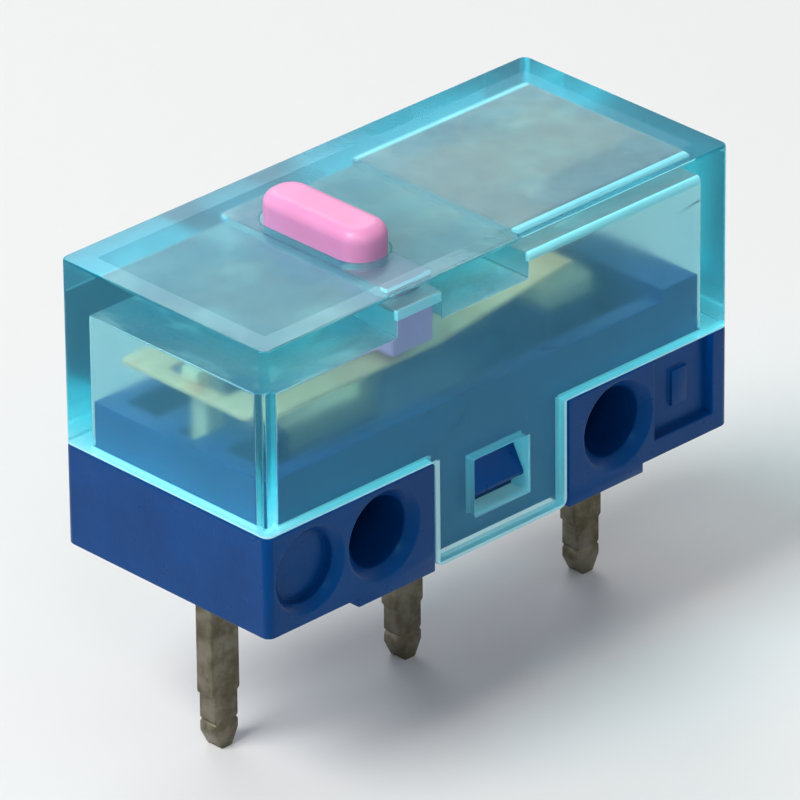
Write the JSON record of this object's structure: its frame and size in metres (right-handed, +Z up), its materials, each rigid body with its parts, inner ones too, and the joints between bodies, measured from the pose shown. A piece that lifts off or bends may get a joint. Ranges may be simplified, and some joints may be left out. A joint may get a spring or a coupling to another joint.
{
  "type": "micro switch",
  "caption": "Subminiature snap-action switch: see-through cover over a moulded base, small push plunger on top, side mounting holes, straight circuit-board terminals.",
  "frame": {"origin": "on the circuit-board seating plane, on the axis of the middle terminal, midway between the long sides", "axes": "+X along the case from the plunger end to the contact end, +Y across the case, +Z up through the plunger"},
  "size_m": [0.0128, 0.0058, 0.0108],
  "materials": {
    "base_plastic": "satin moulded plastic, deep blue",
    "cover_plastic": "see-through light blue plastic, frosted on the roof",
    "plunger_plastic": "satin moulded plastic, pink",
    "terminal_metal": "dull tin plate over brass",
    "blade_metal": "rolled spring strip, pale copper",
    "contact_metal": "silver alloy, satin"
  },
  "bodies": {
    "case": {"base": "base_plastic", "cover": "cover_plastic", "common_terminal": "terminal_metal", "normally_open_terminal": "terminal_metal", "normally_closed_terminal": "terminal_metal", "normally_open_contact": "contact_metal", "normally_closed_contact": "contact_metal"},
    "plunger": {"plunger": "plunger_plastic"},
    "contact_blade": {"snap_blade": "blade_metal", "moving_contact": "contact_metal"}
  },
  "joints": [
    {"name": "plunger_press", "type": "slide", "parent": "case", "child": "plunger", "axis": [0, 0, -1], "range_m": [0, 0.00045], "stiffness_N_per_m": 1300},
    {"name": "blade_turn", "type": "hinge", "parent": "case", "child": "contact_blade", "pos_m": [-0.00516, 0, 0.00445], "axis": [0, 1, 0], "range_deg": [0, 2.98]}
  ],
  "couplings": [
    {"joint": "blade_turn", "follows": "plunger_press", "rad_per_m": 115.5}
  ]
}
